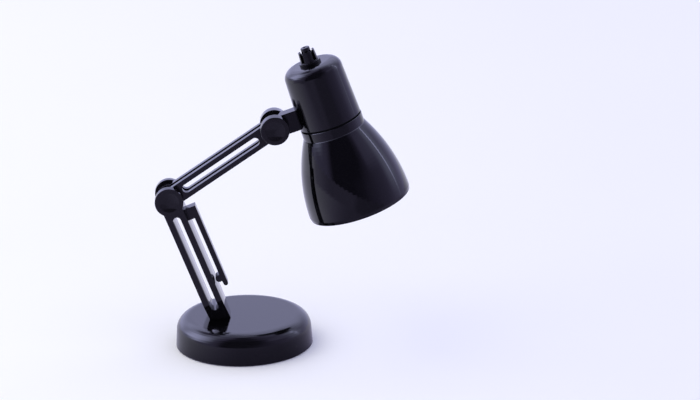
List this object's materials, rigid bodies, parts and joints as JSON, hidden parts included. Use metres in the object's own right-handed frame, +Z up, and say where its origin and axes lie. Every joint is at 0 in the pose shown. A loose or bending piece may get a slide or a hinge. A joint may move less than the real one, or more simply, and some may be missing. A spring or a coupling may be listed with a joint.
{
  "type": "clip-on desk lamp",
  "caption": "Small battery desk lamp with a round weighted base, two slotted arms with disc joints, a bell shade, a push switch on top and a spring clip on the lower arm.",
  "frame": {"origin": "centre of the round base's underside, in the plane that the lamp stands on", "axes": "+Z up; +X from the elbow towards the head, in the plane of the arms; +Y to the side where the joint screws are put in"},
  "size_m": [0.1104, 0.06, 0.1341],
  "materials": {
    "base_gloss": "black injection moulding, polished tool, high gloss",
    "arm_gloss": "black injection moulding, high gloss, parting lines on the edges",
    "clip_gloss": "black springy moulding, high gloss",
    "head_gloss": "black injection moulding, high gloss",
    "shade_gloss": "black injection moulding, high gloss outside and in",
    "switch_gloss": "black injection moulding, slightly worn on top",
    "seam_dark": "dark shadow gap between the mouldings",
    "plate_black": "black moulding, spark-eroded matt",
    "pad_foam": "closed-cell foam disc, matt",
    "weight_steel": "stamped and zinc plated",
    "screw_steel": "zinc plated, bright",
    "washer_nylon": "natural nylon",
    "holder_white": "white moulding, satin",
    "switch_cream": "cream moulding, satin",
    "cell_steel": "nickel plated cans",
    "contact_brass": "spring brass, bright",
    "board_green": "green solder mask on glass-fibre board",
    "chip_black": "ceramic chip with dark coating",
    "led_clear": "water-clear epoxy with a yellow phosphor below",
    "bowl_silver": "vacuum-metallised plastic"
  },
  "bodies": {
    "base": {"base_cover": "base_gloss", "base_weight": "weight_steel", "base_plate": "plate_black", "base_pad": "pad_foam", "base_screws": "screw_steel", "arm_socket": "plate_black"},
    "lower": {"lower_arm": "arm_gloss", "elbow_screw": "screw_steel", "elbow_washers": "washer_nylon"},
    "clip": {"clip_finger": "clip_gloss"},
    "upper": {"upper_arm_front": "arm_gloss", "upper_arm_rear": "arm_gloss", "head_screw": "screw_steel", "head_washers": "washer_nylon"},
    "head": {"battery_housing": "head_gloss", "battery_holder": "holder_white", "button_cells": "cell_steel", "contact_plate": "contact_brass", "switch_body": "switch_cream", "switch_crown": "switch_gloss", "seam_ring": "seam_dark"},
    "button": {"switch_button": "switch_gloss"},
    "bell": {"shade": "shade_gloss", "led_board": "board_green", "led": "led_clear", "led_resistor": "chip_black", "battery_spring": "contact_brass", "reflector": "bowl_silver"}
  },
  "joints": [
    {"name": "arm_lift", "type": "slide", "parent": "base", "child": "lower", "axis": [-0.3469, 0, 0.9379], "range_m": [0, 0.009]},
    {"name": "elbow", "type": "hinge", "parent": "lower", "child": "upper", "pos_m": [-0.03056, 0, 0.06847], "axis": [0, 1, 0], "range_deg": [-110, 20]},
    {"name": "head_tilt", "type": "hinge", "parent": "upper", "child": "head", "pos_m": [0.01593, 0, 0.09886], "axis": [0, 1, 0], "range_deg": [-70, 45]},
    {"name": "clip_flex", "type": "hinge", "parent": "lower", "child": "clip", "pos_m": [-0.01767, 0, 0.06013], "axis": [0, -1, 0], "range_deg": [0, 8], "stiffness_Nm_per_rad": 0.3},
    {"name": "switch_press", "type": "slide", "parent": "head", "child": "button", "axis": [-0.3029, 0, 0.953], "range_m": [-0.001, 0], "stiffness_N_per_m": 1500},
    {"name": "shade_twist", "type": "hinge", "parent": "head", "child": "bell", "pos_m": [0.05215, 0, 0.06292], "axis": [-0.3029, 0, 0.953], "range_deg": [0, 40]}
  ]
}
